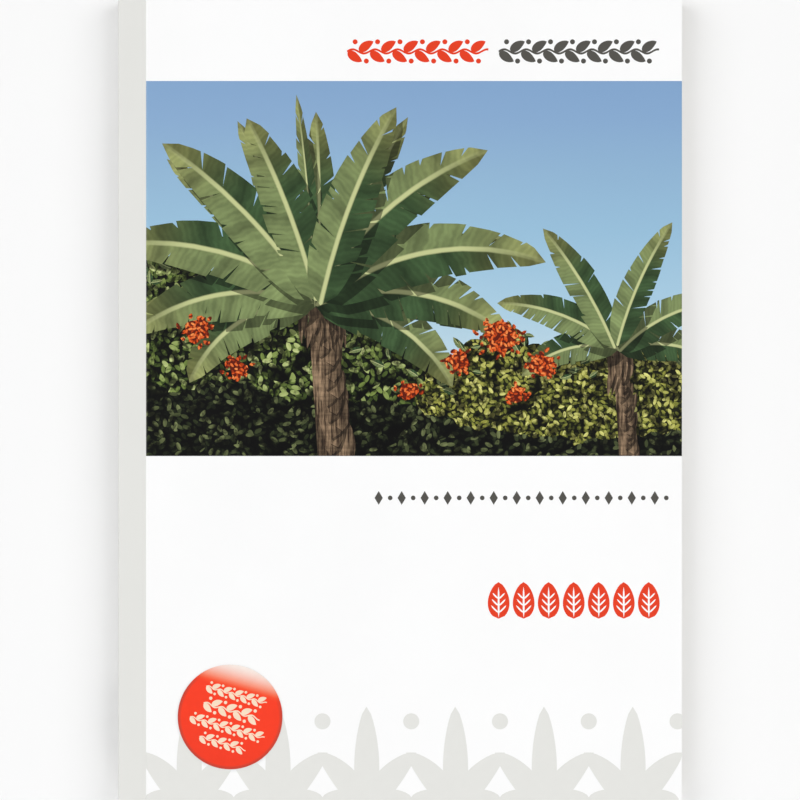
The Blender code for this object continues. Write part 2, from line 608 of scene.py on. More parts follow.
def makeFrontCard():
    # The front panel. It folds at the score, and lies flat again a little past it.
    score, top = book["score"], book["top"]
    start = score + card["creases"][0]
    piece = addPanel("cover_card_front", start, top, cardFaces)
    creases = [score + crease for crease in card["creases"][1:]] + [score - card["seam"]]
    drawOut([(x, top - groove(x)) for x in creases], start, top)
    makeWall(piece, book["card"], up=True, inside=1, rim=2)
    settleFront(piece, "cover_front_panel")


makeFoldedCard()
makeFrontCard()
print("cover card made")

# The printed picture: a warm-country garden under a clear sky, measured from its lower left corner.
picture = {
    "left": book["score"],
    "low": -14.7,
    "high": 83.74,
    "seed": 11,
    # The sky's blues by their share of the height, and how its right side is darkened.
    "sky": (
        (0.30, ink(187, 215, 230)), (0.42, ink(172, 207, 228)), (0.60, ink(156, 195, 221)),
        (0.76, ink(148, 184, 214)), (0.90, ink(139, 173, 210)), (1.00, ink(134, 168, 207)),
    ),
    "skyRight": (0.86, 0.91, 0.96),
    # Foliage: tones from its gaps to its brightest leaves, a leaf's room, and where the sun comes up to.
    "foliage": {
        "farTrees": (((84, 104, 92), (104, 126, 104), (130, 150, 118), (150, 168, 132)), 1.2, (-25, 18)),
        "hedge": (((6, 8, 5), (58, 74, 32), (112, 130, 64), (182, 192, 128)), 2.3, (0, 50)),
        "bush": (((22, 24, 10), (92, 98, 40), (144, 144, 64), (210, 208, 126)), 1.6, (-16, 14)),
        "shade": (((1, 2, 1), (14, 18, 10), (42, 50, 28), (112, 120, 78)), 2.0, (-4, 30)),
    },
    # Hedges, from the back: foliage, both ends, tops, a lump's size, and loose leaves and their brightness.
    "hedges": (
        ("farTrees", 50, 145, (22, 26, 24, 29, 26, 30, 25), 4.0, 0, 1.0),
        ("hedge", -6, 78, (46, 52, 50, 43, 45, 37, 33, 29, 22), 7.0, 60, 0.95),
        ("bush", 70, 148, (14, 25, 31, 33, 26, 24, 29, 32, 28, 25), 5.5, 40, 1.2),
        ("shade", -6, 148, (21, 17, 20, 14, 16, 12, 8, 6, 4, 7, 5), 5.0, 0, 1.0),
    ),
    "rowDrop": 0.8,  # how far each row of lumps is below the last, in lumps
    # Plants: the trunk's foot, top and width, where the leaves start, and their brightness. A leaf has its
    # heading, length, width, bend and own brightness.
    "plants": (
        {
            "trunk": ((127, -2), (124, 31), 5.4),
            "crown": (124, 28),
            "bright": 1.05,
            "leaves": (
                (165, 25, 8.0, 62, 0.62), (20, 26, 8.5, -58, 0.7), (140, 30, 8.5, 40, 0.8),
                (48, 30, 8.5, -48, 0.95), (112, 33, 8.5, 18, 0.9), (76, 32, 8.0, -20, 1.1),
            ),
        },
        {
            "trunk": None,
            "crown": (45, 41),
            "bright": 1.0,
            "leaves": (
                (170, 44, 9.0, 30, 0.42), (8, 46, 9.0, -34, 0.46), (132, 48, 9.0, 10, 0.55),
                (50, 47, 9.0, -12, 0.6), (86, 44, 8.5, 8, 0.6), (112, 46, 8.0, 6, 0.5),
                (68, 47, 8.0, -8, 0.52), (150, 45, 9.0, 20, 0.5), (30, 46, 9.0, -22, 0.55),
            ),
        },
        {
            "trunk": ((50, -2), (45, 45), 9.6),
            "crown": (45, 40),
            "bright": 1.0,
            "leaves": (
                (178, 38, 12.5, 70, 0.55), (2, 40, 12.5, -66, 0.60), (160, 47, 13.5, 58, 0.75),
                (22, 48, 14.0, -62, 0.80), (142, 52, 14.0, 46, 0.92), (40, 56, 14.5, -60, 1.00),
                (122, 52, 13.5, 24, 0.98), (92, 50, 4.5, 6, 1.35), (104, 46, 13.0, 14, 1.10),
                (62, 55, 14.5, -42, 1.15), (78, 50, 13.0, -18, 0.95),
            ),
        },
    ),
    "growth": 1.12,  # the leaves' true size, in their listed sizes
    # Blossoms: middle and size.
    "blossoms": (
        (93, 31, 4.8), (104, 24, 3.8), (82, 25, 3.4), (97, 16, 2.8), (13, 33, 4.0), (24, 23, 3.2),
        (69, 17, 2.8),
    ),
}


def inPicture(x, y):
    return (picture["left"] + x, picture["low"] + y)


def skyPrint():
    finish = laminated("skyPrint")
    x, y, z = finish.axes()
    up = (y - picture["low"]) / (picture["high"] - picture["low"])
    across = (x - picture["left"]) / (book["foreEdge"] - picture["left"])
    wave = finish.noise(0.02, 3.0, stretch=(0.4, 1.0, 1.0)) * 0.05 - 0.025
    blue = finish.add("ValToRGB", {"stops": picture["sky"]}, up + wave)
    darker = finish.tinted(blue, picture["skyRight"])
    finish.colour(finish.mix(across.ramp(0.2, 1.1, 0.0, 0.35), blue, darker))
    return finish


def scatter(finish, below, cell, turn, dark, bright, cover):
    # Small leaves strewn over what is below: each lies in its own cell, turned and lit its own way.
    spot = finish.place((1 / cell, 1 / cell, 0.0))
    moved = (turn * 3.1, turn * 1.7, 0.0)
    spot = finish.add("Mapping", {}, spot, moved, (0.0, 0.0, turn), (1.0, 1.0, 1.0))
    cells = finish.add("TexVoronoi", {"voronoi_dimensions": "2D"}, Vector=spot, Scale=1.0)
    centre, (chance, lit, other) = cells.output("Position"), finish.split(cells.output("Color"))
    upright = {"rotation_type": "Z_AXIS"}
    own = finish.add("VectorRotate", upright, Vector=spot, Center=centre, Angle=chance * 6.28)
    along, side, _ = finish.split(finish.add("VectorMath", {"operation": "SUBTRACT"}, own, centre))
    # A slanting oval, darker on one half.
    edge = (along * 1.75) ** 2 + (side * 3.6) ** 2
    edge = edge + along * side * 1.5
    shown = edge.ramp(0.8, 1.0, 1.0, 0.0) * (other < cover)
    half = side.ramp(-0.04, 0.04, 0.72, 1.0)
    return finish.mix(shown, below, finish.mix(lit * half, dark, bright))


def foliagePrint(name, tones, cell, sunny):
    # Foliage: near-black gaps, three layers of leaves, and each lump lit from the upper left.
    finish = laminated(name)
    dark, middle, bright, glow = [ink(*tone) for tone in tones]
    x, y, z = finish.axes()
    across, up = finish.onOutline()
    body = (up * 0.85 - across * 0.45).ramp(-0.7, 0.9)
    clumps = finish.noise(0.16, 2.0, stretch=(1.0, 1.0, 0.0))
    height = (y - picture["low"]).ramp(*sunny)
    sun = ((clumps - 0.5) * 1.5 + body * 1.05 + height * 0.35).ramp(0.32, 1.2)
    low = scatter(finish, dark, cell * 0.7, 0.4, dark, middle, 0.95)
    mid = scatter(finish, low, cell * 0.85, 1.3, middle, bright, 0.85)
    top = scatter(finish, mid, cell, 2.2, bright, glow, 0.7)
    colour = finish.mix(sun.ramp(0.05, 0.4), low, mid)
    colour = finish.mix(sun.ramp(0.35, 0.85), colour, top)
    pockets = finish.noise(0.30, 3.0, 0.6, stretch=(1.0, 1.0, 0.0)).ramp(0.40, 0.56, 0.12, 1.0)
    colour = finish.dim(colour, sun.ramp(0.0, 0.8, 0.15, 1.25) * pockets)
    finish.printed(colour, 0.4)
    return finish


def leafPrint():
    # A leaf blade: pale midrib, fine side veins, one half in the sun.
    finish = laminated("leafPrint")
    along, side = finish.onOutline()
    away = abs(side)
    slant = along * 34.0 - away * 1.9 + finish.noise(0.35, 2.0) * 1.6
    veins = (slant * tau).maths("SINE").ramp(-1.0, 1.0, 0.90, 1.05)
    # The strips between the veins differ, on either side of the midrib and from leaf to leaf.
    own = finish.split(finish.stored("tint"))[2] * 40.0
    seat = finish.add("CombineXYZ", {}, slant * 0.21, (side > 0.0) * 9.0, own)
    strips = finish.noise(1.0, 2.0, over=seat).ramp(0.32, 0.68, 0.62, 1.30)
    patches = finish.clouds(0.18, 0.78, 1.10)
    green = finish.mix(side.ramp(-0.12, 0.12), ink(58, 82, 50), ink(126, 142, 92))
    green = finish.mix(along.ramp(0.55, 1.05, 0.0, 0.45), green, ink(158, 150, 88))
    green = finish.dim(green, veins * patches * strips * away.ramp(0.7, 1.0, 1.0, 0.85))
    rib = away.ramp(0.04, 0.11, 1.0, 0.0) * along.ramp(0.6, 0.98, 1.0, 0.15)
    green = finish.mix(rib, green, ink(198, 204, 146))
    finish.printed(green, 0.36)
    return finish


def stemPrint():
    # Old leaf bases and dry leaves: streaked, ringed and brighter on the right.
    finish = laminated("stemPrint")
    streaks = finish.noise(1.0, 4.0, 0.7, stretch=(1.6, 0.12, 0.0))
    rings = finish.noise(1.0, 2.0, stretch=(0.1, 0.9, 0.0)).ramp(0.4, 0.6, 0.7, 1.0)
    along, side = finish.onOutline()
    brown = finish.mix(streaks.ramp(0.35, 0.65), ink(58, 44, 34), ink(160, 134, 106))
    finish.printed(finish.dim(brown, rings * side.ramp(-0.7, 0.7, 0.55, 1.2)), 0.35)
    return finish


def blossomPrint():
    # Heads of many small flowers, orange-red in the sun and deep red between.
    finish = laminated("blossomPrint")
    low = scatter(finish, ink(96, 26, 10), 0.95, 0.9, ink(132, 40, 12), ink(226, 84, 24), 0.95)
    top = scatter(finish, low, 1.1, 2.0, ink(216, 78, 22), ink(255, 156, 84), 0.75)
    finish.printed(top, 0.45)
    return finish


dice = random.Random(picture["seed"])
vary = dice.uniform


def clump(x, y, radius, rough=0.08):
    # A leafy lump: a round with a ragged rim.
    return disc(*inPicture(x, y), radius, int(radius * 4), lambda: 1 + vary(-rough, rough))


def growHedge(shapes, finish, left, right, tops, size):
    # Rows of leafy lumps, from the back row, whose tops follow the given heights, down to the front. It
    # gives the lumps of the outer rim.
    def height(x):
        share = min(max((x - left) / (right - left), 0.0), 1 - hair) * (len(tops) - 1)
        return tops[int(share)] + (tops[int(share) + 1] - tops[int(share)]) * (share % 1)

    lumps, drop = [], size * picture["rowDrop"]
    for row in range(int(max(tops) / drop) + 1):
        x = left + vary(0, size)
        while x < right:
            radius = size * vary(0.75, 1.2)
            y = height(x) - radius - row * drop + vary(-0.2, 0.2) * size
            if y > -size:
                lumps.append((x, y, radius))
                bright = vary(0.82, 1.12)
                lump = clump(x, y, radius)
                lay(shapes, lump, finish, (bright, bright, bright * vary(0.85, 1)))
            x += size * vary(0.8, 1.3)
    return [lump for lump in lumps if lump[1] + lump[2] > height(lump[0]) - size * 0.6]


def addLooseLeaves(shapes, lumps, count, shade):
    # Single leaves that stand out from the rims of the lumps.
    for step in range(count):
        x, y, radius = dice.choice(lumps)
        turn = vary(15, 165)
        reach = radius * vary(0.72, 1.0)
        foot = inPicture(x + reach * cos(radians(turn)), y + reach * sin(radians(turn)))
        long = vary(2.4, 4.6)
        leaf = blade(foot, turn + vary(-50, 50), long, long * 0.42, vary(-30, 30), steps=4)
        bright = vary(0.5, 1.25) * shade
        lay(shapes, leaf, "leaf", (bright, bright * vary(0.95, 1.05), bright * 0.8))


def addPaddles(shapes, plant):
    # A tall plant's broad torn leaves. Each throws a shadow on what is behind it.
    crown, grow = plant["crown"], picture["growth"]
    for heading, long, wide, bend, bright in plant["leaves"]:
        slits = []
        for side in (-1, 1):
            tears = dice.randint(4, 9)
            for tear in range(tears):
                along = 0.22 + 0.72 * (tear + vary(0.15, 0.85)) / tears
                slits.append((along, vary(0.2, 0.95), side, vary(0.84, 1.0)))
        foot = inPicture(crown[0] + vary(-1, 1), crown[1] + vary(-1, 1))
        leaf = blade(foot, heading, long * grow, wide * grow, bend, fullness=0.6, steps=16, slits=slits)
        bright *= plant["bright"]
        cool = vary(-0.12, 0.14)
        tint = (bright * (1.02 - cool), bright, bright * (0.9 + 1.6 * cool))
        lay(shapes, leaf, "leaf", tint, shadow=(1.6, -2.4))


def addBlossoms(shapes, x, y, size):
    # A spray of small flowers over its own shade, thickest in the middle.
    lay(shapes, clump(x, y, size * 0.8, 0.25), "blossom", (0.28, 0.24, 0.24))
    for step in range(int(size * size * 3.2)):
        turn = vary(0, tau)
        reach = size * vary(0.0, 1.1) ** 0.8
        foot = inPicture(x + reach * cos(turn) * 1.2, y + reach * sin(turn) * 0.9)
        bright = vary(0.55, 1.3) * (1.0 + 0.25 * sin(turn))
        petal = blade(foot, vary(0, 360), vary(1.1, 2.0), vary(0.8, 1.1), 0, 0.5, 4)
        lay(shapes, petal, "blossom", (bright, bright * 0.95, bright * 0.9))


def addTrunk(shapes, foot, top, width):
    # A trunk wrapped in old leaf bases that lap over each other, with dry leaves hanging at the top.
    count, half = int((top[1] - foot[1]) / (width * 0.22)), width / 2
    (lowX, lowY), (highX, highY) = inPicture(*foot), inPicture(*top)
    tip = half * 0.6
    trunk = area((lowX - half, lowY), (lowX + half, lowY), (highX + tip, highY), (highX - tip, highY))
    lay(shapes, trunk, "stem", (0.45, 0.42, 0.42), shadow=(2.0, -0.5))
    for step in range(count):
        share = step / count
        side = 1 if step % 2 else -1
        reach = half * (1.0 - 0.4 * share)
        x = lowX + (highX - lowX) * share - side * reach * vary(0.1, 0.6)
        start = (x, lowY + (highY - lowY) * share)
        husk = blade(start, 90 - side * vary(2, 16), width * 1.5, width * 0.55, -side * 14, 0.55, 8)
        bright = vary(0.6, 1.25) * (1.0 + 0.2 * side)
        lay(shapes, husk, "stem", (bright * 1.04, bright, bright * 0.94), shadow=(0.5, -0.5))
    for step in range(int(width * 1.3)):
        side = dice.choice((-1, 1))
        start = (highX + vary(-0.4, 0.4) * width, highY - vary(0, width * 0.6))
        heading = -90 + side * vary(4, 32)
        leaf = blade(start, heading, vary(8, 15), vary(1.2, 2.6), -side * 25, 0.6, 8)
        bright = vary(0.55, 1.2)
        lay(shapes, leaf, "stem", (bright * 1.1, bright, bright * 0.85), shadow=(0.7, -0.5))


def makePicture():
    shapes = []
    lay(shapes, coverArea(picture["left"], picture["low"], picture["high"]), "sky")
    for kind, left, right, tops, size, loose, bright in picture["hedges"]:
        rims = growHedge(shapes, kind, left, right, tops, size)
        addLooseLeaves(shapes, rims, loose, bright)
    for plant in picture["plants"]:
        if plant["trunk"]:
            addTrunk(shapes, *plant["trunk"])
        addPaddles(shapes, plant)
    for x, y, size in picture["blossoms"]:
        addBlossoms(shapes, x, y, size)
    finishes = {"sky": skyPrint()}
    for kind, look in picture["foliage"].items():
        finishes[kind] = foliagePrint(kind + "Print", *look)
    finishes.update(stem=stemPrint(), leaf=leafPrint(), blossom=blossomPrint())
    printFront("cover_picture", shapes, finishes)


makePicture()
print("picture printed")

# The other prints: generic ornaments in the places and colours of the cover's lines of type.
prints = {
    "topLine": {"low": 87.6, "high": 95.4, "pitch": 3.1, "orange": (-13.9, 23.2), "grey": (25.9, 68.0)},
    "smallLine": {"middle": -25.7, "height": 3.6, "pitch": 3.02, "from": -5.6, "to": 68.5},
    "boldLine": {"low": -57.4, "height": 9.6, "width": 5.7, "pitch": 6.57, "from": 25.9, "count": 7},
    "frieze": {"first": -55.3, "pitch": 23.3, "count": 6, "foot": -108.0, "height": 27.5, "width": 6.6},
    "backLine": (-18.0, 24.0),
    "spineLine": {"low": -1.7, "high": 1.7, "pitch": 3.3, "ends": (-24.0, 74.0)},
    "sprigs": {"count": 3, "first": 12.0, "pitch": 6.5, "length": 5.6, "width": 1.9},
    # A fan's leaves: lean, share of its height and bend.
    "fan": ((0, 1.0, 0), (27, 0.74, 26), (-27, 0.74, -26), (58, 0.46, 34), (-58, 0.46, -34)),
}

# A garland in shares of its line's height, with its leaf's lean and bend in degrees.
garland = {
    "wave": 0.07,
    "stem": 0.035,
    "leafLong": 0.60,
    "leafWide": 0.30,
    "lean": 52,
    "bend": 30,
    "berry": 0.085,
    "berryAway": 0.27,  # how far a berry is from the stem
    "berryAlong": 0.62,  # how far it is past its leaf, in pitches
}


def plainInk(name, colour, mottling):
    # One printed colour, a little uneven as ink is.
    finish = laminated(name)
    cloud = finish.clouds(0.4, 1.0 - mottling, detail=4.0)
    grain = finish.noise(6.0, 2.0).ramp(0.2, 0.8, 1.0 - mottling, 1.0)
    finish.colour(finish.dim(colour, cloud * grain))
    return finish


def addGarland(shapes, left, right, line, finish):
    # A thin waving stem with leaves above and below it by turns.
    middle, tall = (line["low"] + line["high"]) / 2, line["high"] - line["low"]
    count = round((right - left) / line["pitch"])
    pitch = (right - left) / (count + 0.6)

    def height(x):
        return middle + tall * garland["wave"] * sin(tau * (x - left) / pitch / 2)

    stops = [left + (right - left) * step / (count * 8) for step in range(count * 8 + 1)]
    half = tall * garland["stem"]
    stem = [(x, height(x) - half) for x in stops] + [(x, height(x) + half) for x in stops[::-1]]
    lay(shapes, area(*stem), finish)
    long, wide = tall * garland["leafLong"], tall * garland["leafWide"]
    for i in range(count):
        x = left + pitch * (i + 0.1)
        side = 1 if i % 2 else -1
        leaf = blade((x, height(x)), side * garland["lean"], long, wide, -side * garland["bend"], 0.7, 10)
        lay(shapes, leaf, finish)
        berry = x + pitch * garland["berryAlong"]
        y = height(berry) - side * tall * garland["berryAway"]
        lay(shapes, disc(berry, y, tall * garland["berry"], 14), finish)


def addLozenges(shapes, line, finish):
    # Lozenges with a dot between each two.
    tall, wide = line["height"] / 2, line["height"] * 0.3
    y = line["middle"]
    for i in range(round((line["to"] - line["from"]) / line["pitch"]) + 1):
        x = line["from"] + i * line["pitch"]
        if i % 2:
            lay(shapes, disc(x, y, line["height"] * 0.17, 14), finish)
        else:
            lay(shapes, area((x - wide, y), (x, y - tall), (x + wide, y), (x, y + tall)), finish)


def addVeinedLeaves(shapes, line):
    # Broad upright leaves with their veins left white.
    for i in range(line["count"]):
        x, low = line["from"] + i * line["pitch"], line["low"]
        lay(shapes, blade((x, low), 90, line["height"], line["width"], fullness=0.6, steps=14), "orange")
        rib = blade((x, low + 0.3), 90, line["height"] * 0.84, 0.5, fullness=0.3, steps=6)
        lay(shapes, rib, "white")
        for step in range(3):
            y = low + line["height"] * (0.16 + 0.19 * step)
            long = line["width"] * (0.50 - 0.05 * step)
            for side in (-1, 1):
                lay(shapes, blade((x, y), 90 + side * 52, long, 0.42, -side * 14, 0.3, 5), "white")


def addPalmettes(shapes, frieze):
    # Pale fans of leaves that the cover's tail edge cuts off, with a bud between each two.
    for i in range(frieze["count"]):
        x = frieze["first"] + i * frieze["pitch"]
        for lean, share, bend in prints["fan"]:
            long = frieze["height"] * share
            lay(shapes, blade((x, frieze["foot"]), 90 + lean, long, frieze["width"], bend, 0.6, 14), "pale")
        bud = (x + frieze["pitch"] / 2, frieze["foot"] + frieze["height"] * 0.86)
        lay(shapes, disc(*bud, frieze["width"] * 0.32, 28), "pale")


printFinishes = {
    "orange": plainInk("orangeInk", ink(235, 65, 33), 0.03),
    "grey": plainInk("greyInk", ink(87, 85, 80), 0.05),
    "pale": plainInk("paleInk", ink(232, 232, 228), 0.01),
    "white": plainInk("whiteInk", ink(255, 255, 255), 0.01),
}


def makeFrontPrints():
    shapes = [coverArea(book["score"])]
    addPalmettes(shapes, prints["frieze"])
    line = prints["topLine"]
    for colour in ("orange", "grey"):
        addGarland(shapes, *line[colour], line, colour)
    addLozenges(shapes, prints["smallLine"], "grey")
    addVeinedLeaves(shapes, prints["boldLine"])
    printFront("cover_ornaments", shapes, printFinishes)


def makeBackPrints():
    # The back carries the frieze again and one garland.
    shapes = [coverArea(book["score"] + card["grooveHalf"])]
    addPalmettes(shapes, prints["frieze"])
    addGarland(shapes, *prints["backLine"], prints["topLine"], "orange")
    sheet = cutSheet("back_ornaments", shapes, printFinishes, card["film"] / 2, card["film"])
    settle(sheet, "cover_card", "book_block")


def makeSpinePrint():
    # A garland down the spine and sprigs at its foot, drawn flat and then stood against it.
    shapes = []
    middle = book["top"] / 2
    line, sprigs = prints["spineLine"], prints["sprigs"]
    band = {"low": middle + line["low"], "high": middle + line["high"], "pitch": line["pitch"]}
    addGarland(shapes, *line["ends"], band, "grey")
    for step in range(sprigs["count"]):
        y = book["tail"] + sprigs["first"] + step * sprigs["pitch"]
        for lean, share in ((0, 1.0), (48, 0.72), (-48, 0.72)):
            leaf = blade((y, middle), lean, sprigs["length"] * share, sprigs["width"], -lean * 0.6, 0.7, 8)
            lay(shapes, leaf, "grey")
    sheet = cutSheet("spine_ornament", shapes, printFinishes, 0.0, card["film"], backed=False)
    x = book["spine"] * mm - card["film"] / 2 * mm
    sheet.data.transform(Matrix(((0, 0, -1, x), (1, 0, 0, 0), (0, -1, 0, middle * 2 * mm), (0, 0, 0, 1))))
    settle(sheet, "cover_card", "book_block")


makeFrontPrints()
makeBackPrints()
makeSpinePrint()
print("ornaments printed")


def badgePrint(name, colour, rimmed):
    # Gloss print with a painted highlight over its upper part, painted shade darkening it towards its
    # bottom, and a thin darker rim of painted shade along its lower edge.
    finish = Finish(name)
    x, y, z = finish.axes()
    # In radii: the height along the badge's own tilted axis, and the distance from its middle.
    across, up = (x - badge["x"]) / badge["radius"], (y - badge["y"]) / badge["radius"]
    above = up * cos(badge["tilt"]) - across * sin(badge["tilt"])
    away = (across * across + up * up) ** 0.5
    mottle = finish.clouds(0.5, 0.97)
    # Painted shade: the red darkens towards the badge's bottom.
    shade = finish.mix(above.ramp(-1.0, 0.0, 0.2, 0.0), colour, badge["deep"]) if rimmed else colour
    # Painted highlight: the glow and then the shine over the upper part.
    lit = finish.mix(above.ramp(0.50, 0.75, 0.0, 0.8), shade, badge["glow"])
    lit = finish.mix(above.ramp(0.56, 1.03), lit, badge["shine"])
    if rimmed:
        # Painted shade: a thin darker rim along the lower edge, fading out towards the top.
        rim = away.ramp(0.92, 0.985, 0.0, 0.5) * above.ramp(0.3, 0.75, 1.0, 0.0)
        lit = finish.mix(rim, lit, badge["rim"])
    finish.colour(finish.dim(lit, mottle))
    finish.roughness(finish.noise(0.15, 3.0) * 0.10 + 0.16)
    finish.shader.inputs["Coat Weight"].default_value = 0.15
    finish.shader.inputs["Coat Roughness"].default_value = 0.15
    return finish


def makeBadge():
    # A round sticker with four tilted garlands where its lines of type would be.
    x, y, radius = badge["x"], badge["y"], badge["radius"]
    cosine, sine = cos(badge["tilt"]), sin(badge["tilt"])
    shapes = []
    lay(shapes, disc(x, y, radius, badge["sides"]), "red")

    def turned(across, up):
        along, above = across / radius, up / radius
        return (x + radius * (along * cosine - above * sine), y + radius * (along * sine + above * cosine))

    for above, tall, reach in badge["rows"]:
        low, high = (above - tall / 2) * radius, (above + tall / 2) * radius
        line = {"low": low, "high": high, "pitch": tall * 0.42 * radius}
        row = []
        addGarland(row, -reach * radius, reach * radius, line, "cream")
        for shape in row:
            shape["points"] = [turned(*point) for point in shape["points"]]
        shapes += row
    finishes = {
        "red": badgePrint("badgeRed", badge["red"], True),
        "cream": badgePrint("badgeCream", badge["cream"], False),
    }
    sheet = cutSheet("badge", shapes, finishes, book["top"] + badge["sticker"], badge["sticker"])
    settle(sheet, "badge_film", "front_cover", "badge_sticker")


makeBadge()
print("badge made")

# The leaves: thin sheets, seven to each pack that the model turns as one.
leaves = {
    "each": 7,
    "sheet": 0.098,
    "bound": 0.75,  # how far from the spine the glued edges start
    "bendEnd": 17.0,  # how far right of the score an open leaf is flat again
    "bendSteps": 22,
    "untrimmed": 0.03,  # how far single leaves stand out past the trim
    "pressed": 14,  # how many leaves under each score line follow its groove
    "tailMargin": 17.0,
    "headMargin": 16.0,
    "innerMargin": 19.0,
    "foreMargin": 15.0,
    "line": 4.4,
    "shortLines": 0.16,  # how many lines end a paragraph, as a share
    "shortBy": 0.55,
    "ink": 0.52,
    "seed": 5,
}


def pagePaper():
    # Off-white book paper with grey lines where the type would be. No letters.
    finish = Finish("pagePaper", 0.85)
    x, y, z = finish.axes()
    leaf = finish.stored("leaf", "Fac")
    mottle = finish.clouds(0.12, 0.975, detail=4.0)
    threads = finish.noise(4.0, 2.0, 0.7, stretch=(1.0, 0.4, 1.0)).ramp(0.2, 0.8, 0.985, 1.0)
    low, high = book["tail"] + leaves["tailMargin"], book["head"] - leaves["headMargin"]
    left, right = book["score"] + leaves["innerMargin"], book["foreEdge"] - leaves["foreMargin"]
    row = (high - y) / leaves["line"]
    line = row.maths("FLOOR")
    depth = row - line
    ends = finish.add("TexWhiteNoise", {"noise_dimensions": "1D"}, W=line * 1.37 + leaf * 17.0)
    short = (ends < leaves["shortLines"]) * (right - left) * leaves["shortBy"]
    block = (x > left) * (x < (right - short)) * (y > low) * (y < high)
    seat = finish.add("CombineXYZ", {}, x * 0.42, line * 7.31, leaf * 23.0)
    words = finish.noise(1.0, 1.0, over=seat).ramp(0.40, 0.44, 0.0, 1.0)
    seat = finish.add("CombineXYZ", {}, x * 2.6, y * 1.1, leaf * 5.0)
    strokes = finish.noise(1.0, 2.0, 0.8, over=seat).ramp(0.30, 0.62, 0.35, 1.0)
    bar = depth.ramp(0.20, 0.30) * depth.ramp(0.62, 0.72, 1.0, 0.0)
    lines = block * words * bar * strokes * leaves["ink"]
    paper = finish.mix(lines, ink(249, 246, 237), ink(60, 58, 56))
    finish.colour(finish.dim(paper, mottle * threads))
    finish.bump(finish.noise(3.0, 3.0, 0.7), 0.2, 0.01)
    return finish


def trimmedEdge():
    # The cut edges of the block: each leaf its own tone, with faint marks of the knife across them.
    finish = Finish("trimmedEdge", 0.9)
    leaf = finish.stored("leaf", "Fac")
    tone = finish.add("TexWhiteNoise", {"noise_dimensions": "1D"}, W=leaf * 91.7).ramp(0.0, 1.0, 0.78, 1.0)
    marks = finish.noise(2.0, 3.0, 0.6, stretch=(0.6, 0.6, 0.05)).ramp(0.25, 0.75, 0.95, 1.0)
    finish.colour(finish.dim(ink(250, 247, 238), tone * marks))
    finish.bump(finish.noise(1.5, 2.0, stretch=(1.0, 1.0, 9.0)), 0.3, 0.02)
    return finish


def makeLeaf(faces):
    # One leaf, from the fore-edge to the glue, with close columns where it bends.
    start, steps = book["score"] + leaves["bendEnd"], leaves["bendSteps"]
    leaf = addPanel("leaf", start, 0.0, faces)
    columns = [start - leaves["bendEnd"] * (step + 1) / steps for step in range(steps)]
    drawOut([(x, 0.0) for x in columns + [book["spine"] + leaves["bound"]]], start, 0.0)
    makeWall(leaf, leaves["sheet"], up=True, rim=1)
    return leaf


def copyLeaf(first, number, count, draw):
    # The leaf of this number, counted from the front, in its place in the closed block.
    top, pitch = book["top"] - book["card"], (book["top"] - 2 * book["card"]) / count
    choose(first)
    bpy.ops.object.duplicate()
    sheet = bpy.context.object
    own = sheet.data.attributes.new("leaf", "FLOAT", "FACE")
    own.data.foreach_set("value", [number / count] * len(sheet.data.polygons))
    rest = top - number * pitch - (pitch - leaves["sheet"]) / 2
    slip = (draw.uniform(-1, 0) * leaves["untrimmed"], draw.uniform(-1, 1) * leaves["untrimmed"] / 2, rest)
    sheet.data.transform(Matrix.Translation([value * mm for value in slip]))
    fromTop, fromLow = number / leaves["pressed"], (count - 1 - number) / leaves["pressed"]
    dip = card["grooveDepth"] * (max(1 - fromTop, 0) - max(1 - fromLow, 0))
    for point in sheet.data.vertices:
        if abs(point.co.x / mm - book["score"]) < 0.1:
            point.co.z -= dip * mm
    return sheet


def makeLeafPacks():
    draw = random.Random(leaves["seed"])
    packs = sorted(name for name in frame["nodes"] if name.startswith("leaves_"))
    first = makeLeaf((pagePaper(), trimmedEdge()))
    each, count = leaves["each"], len(packs) * leaves["each"]
    for i, node in enumerate(packs):
        choose(*[copyLeaf(first, number, count, draw) for number in range(i * each, (i + 1) * each)])
        bpy.ops.object.join()
        pack = bpy.context.object
        pack.name = pack.data.name = f"leaf_pack_{i + 1:02d}"
        body = body_of(frame["nodes"][node])[0]
        if body == "book_block":
            settle(pack, "book_paper", body, node, "bound_leaf_edges")
        else:
            settle(pack, "book_paper", body, node, bend=(book["score"], book["score"] + leaves["bendEnd"]))
    bpy.data.objects.remove(first)
    print("leaves made:", count)


makeLeafPacks()

glue = {"inset": 0.35, "wave": 0.05, "cuts": 7, "seed": 3}


def hotGlue():
    finish = Finish("hotGlue", 0.35)
    finish.colour(finish.mix(finish.clouds(0.5, 0.0), ink(226, 214, 178), ink(242, 234, 208)))
    finish.bump(finish.noise(2.0, 3.0), 0.4, 0.03)
    return finish


def makeGlue():
    # The bead between the leaves' bound edges and the spine, uneven at its ends.
    choose()
    left, right = book["spine"] + book["card"], book["spine"] + leaves["bound"]
    low, high = book["card"], book["top"] - book["card"]
    half = book["head"] - glue["inset"]
    middle = ((left + right) / 2 * mm, 0.0, (low + high) / 2 * mm)
    bpy.ops.mesh.primitive_cube_add(size=1.0, location=middle)
    bead = sizeNew("glue_bead", right - left, 2 * half, high - low)
    wear(bead, hotGlue())
    bpy.ops.mesh.select_all(action="SELECT")
    bpy.ops.mesh.subdivide(number_cuts=glue["cuts"])
    enter("OBJECT")
    draw = random.Random(glue["seed"])
    for point in bead.data.vertices:
        if half - abs(point.co.y / mm) < 0.01:
            point.co.y += draw.uniform(-1, 1) * glue["wave"] * mm
    bead.data.shade_smooth()
    settle(bead, "binding_glue", "book_block", "spine_glue")


makeGlue()
print("glue made")

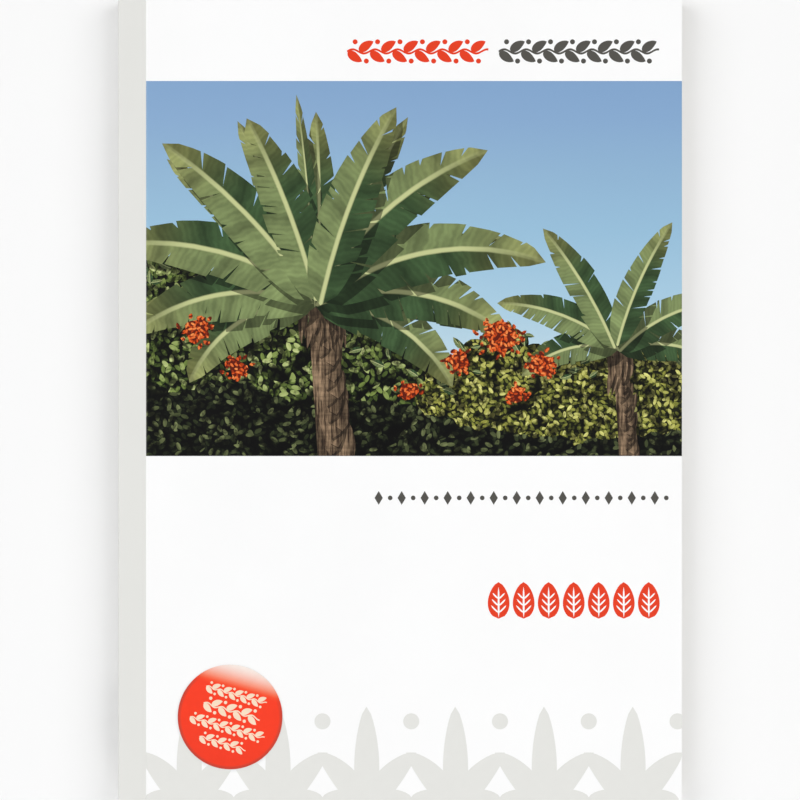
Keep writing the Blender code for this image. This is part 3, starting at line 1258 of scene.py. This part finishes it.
studio = {
    "lens": 160.0,
    "sensor": 36.0,
    "framed": 0.210,  # how much of the cover's plane the view holds, in metres
    "lampPower": 8.5,
    "lamps": (((-0.9, 0.3, 1.0), 1.0), ((0.9, 0.3, 1.0), 1.0), ((0.0, -1.0, 1.0), 0.8)),
    "lampSize": 1.1,
    "world": 0.30,
    "floorRadius": 2.2,
    "floorSides": 96,
    "floorDrop": 0.0002,  # how far below the book the floor is
    "wallHeight": 1.6,
    "bendSteps": 8,
}


def floorPaper():
    finish = Finish("floorPaper", 0.9)
    own = finish.add("TexCoord", {}).output("Object")
    cloud = finish.noise(2.0, 3.0, over=own).ramp(0.3, 0.7, 0.99, 1.0)
    finish.colour(finish.dim(ink(252, 252, 252), cloud))
    return finish


def makeFloor():
    # A round floor that sweeps up into a pale wall on every side.
    choose()
    bend = studio["wallHeight"] / 2
    flat = studio["floorRadius"] - bend
    circle = {"vertices": studio["floorSides"], "radius": flat, "fill_type": "NGON"}
    bpy.ops.mesh.primitive_circle_add(**circle, location=(0.0, 0.0, -studio["floorDrop"]))
    floor = bpy.context.object
    floor.name = floor.data.name = "studio_floor"
    wear(floor, floorPaper())
    enter("EDIT")
    bpy.ops.mesh.select_mode(type="EDGE")
    bpy.ops.mesh.select_all(action="DESELECT")
    bpy.ops.mesh.select_non_manifold()
    turns = [radians(90) * step / studio["bendSteps"] for step in range(1, studio["bendSteps"] + 1)]
    stops = [(flat + bend * sin(turn), bend * (1 - cos(turn))) for turn in turns]
    radius, rise = flat, 0.0
    for wider, higher in stops + [(studio["floorRadius"], studio["wallHeight"])]:
        bpy.ops.mesh.extrude_edges_move(TRANSFORM_OT_translate={"value": (0.0, 0.0, higher - rise)})
        grow = wider / radius
        bpy.ops.transform.resize(value=(grow, grow, 1.0), center_override=(0.0, 0.0, 0.0))
        radius, rise = wider, higher
    enter("OBJECT")
    bpy.ops.object.transform_apply(location=True, rotation=False, scale=True)
    floor.data.shade_smooth()


def makeStudio():
    scene = bpy.context.scene
    scene.view_settings.view_transform = "Standard"
    distance = studio["framed"] * studio["lens"] / studio["sensor"]
    bpy.ops.object.camera_add(location=(0.0, 0.0, book["top"] * mm + distance))
    scene.camera = bpy.context.object
    scene.camera.data.lens = studio["lens"]
    scene.camera.data.sensor_width = studio["sensor"]
    for spot, share in studio["lamps"]:
        bpy.ops.object.light_add(type="AREA", location=spot)
        lamp = bpy.context.object
        lamp.rotation_euler = Vector(spot).to_track_quat("Z", "Y").to_euler()
        lamp.data.size = studio["lampSize"]
        lamp.data.energy = studio["lampPower"] * share
    scene.world = bpy.data.worlds.new("room")
    scene.world.use_nodes = True
    room = scene.world.node_tree.nodes["Background"].inputs
    room["Color"].default_value = (1.0, 1.0, 1.0, 1.0)
    room["Strength"].default_value = studio["world"]


makeFloor()
makeStudio()
print("studio made")
